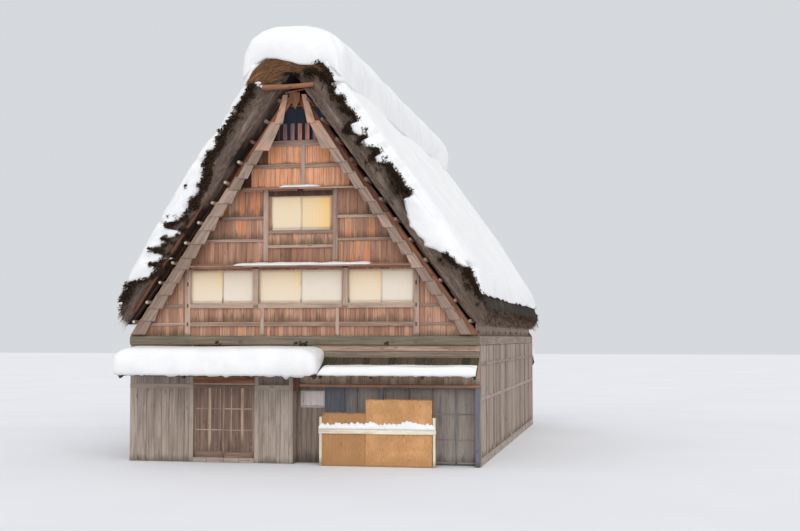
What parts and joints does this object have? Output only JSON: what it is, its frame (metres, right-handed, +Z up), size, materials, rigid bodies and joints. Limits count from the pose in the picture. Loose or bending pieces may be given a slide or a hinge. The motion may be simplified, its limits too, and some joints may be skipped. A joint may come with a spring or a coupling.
{
  "type": "thatched farmhouse",
  "caption": "Steep thatched farmhouse under snow, with a tall boarded gable, paper windows, pent roofs and a sliding lattice entrance.",
  "frame": {"origin": "on the ground at the middle of the plan", "axes": "+Z up, the entrance gable faces -Y, the ridge runs along Y, +X is to the right of the entrance"},
  "size_m": [11.46, 21.0008, 13.28],
  "materials": {
    "thatch": "weathered straw thatch, cut ends gray brown, dark mossy fringe",
    "straw": "brown straw hood over the ridge",
    "snow": "deep fresh snow",
    "plank_wall": "weathered reddish brown boards",
    "gray_timber": "silver gray weathered timber",
    "red_timber": "dark reddish brown timber",
    "dark_panel": "dark blue gray sliding panels",
    "paper": "cream window paper",
    "straw_mat": "tan rice straw matting",
    "pale_timber": "pale bleached timber",
    "floor_boards": "worn floor boards"
  },
  "bodies": {
    "house": {"thatch_right": "thatch", "thatch_left": "thatch", "ridge_cap": "straw", "roof_snow_right": "snow", "roof_snow_left": "snow", "ridge_snow": "snow", "pent_snow_left": "snow", "pent_snow_right": "snow", "pent_snow_back": "snow", "gable_wall_front_lower": "plank_wall", "gable_wall_front_middle": "plank_wall", "gable_wall_front_top": "plank_wall", "gable_wall_back_lower": "plank_wall", "gable_wall_back_middle": "plank_wall", "gable_wall_back_top": "plank_wall", "recess_wall": "plank_wall", "barge_boards_front_right": "gray_timber", "barge_boards_front_left": "gray_timber", "barge_boards_back_right": "gray_timber", "barge_boards_back_left": "gray_timber", "side_wall_left": "gray_timber", "side_wall_right": "gray_timber", "back_wall": "gray_timber", "front_beam": "gray_timber", "back_beam": "gray_timber", "front_wall_left": "gray_timber", "front_wall_middle": "gray_timber", "entrance_threshold": "gray_timber", "veranda_post_middle": "gray_timber", "veranda_post_corner": "gray_timber", "pent_roof_left": "gray_timber", "pent_roof_right": "gray_timber", "pent_roof_back": "gray_timber", "roof_frame_right": "red_timber", "roof_frame_left": "red_timber", "apex_pole": "red_timber", "ledge_front_lower": "red_timber", "ledge_front_upper": "red_timber", "ledge_back_lower": "red_timber", "ledge_back_upper": "red_timber", "entrance_head_wall": "red_timber", "veranda_head_wall": "red_timber", "veranda_shutters": "dark_panel", "shoji_front_left": "paper", "shoji_front_middle": "paper", "shoji_front_right": "paper", "shoji_front_upper": "paper", "shoji_back_lower": "paper", "shoji_back_upper": "paper", "straw_mat_low": "straw_mat", "straw_mat_high": "straw_mat", "mat_rail": "pale_timber", "ground_floor": "floor_boards", "attic_floor_lower": "floor_boards", "attic_floor_upper": "floor_boards"},
    "entrance_leaf_left": {"entrance_leaf_left": "red_timber"},
    "entrance_leaf_right": {"entrance_leaf_right": "red_timber"}
  },
  "joints": [
    {"name": "entrance_left_slide", "type": "slide", "parent": "house", "child": "entrance_leaf_left", "axis": [1, 0, 0], "range_m": [0, 0.915]},
    {"name": "entrance_right_slide", "type": "slide", "parent": "house", "child": "entrance_leaf_right", "axis": [-1, 0, 0], "range_m": [0, 0.915]}
  ]
}
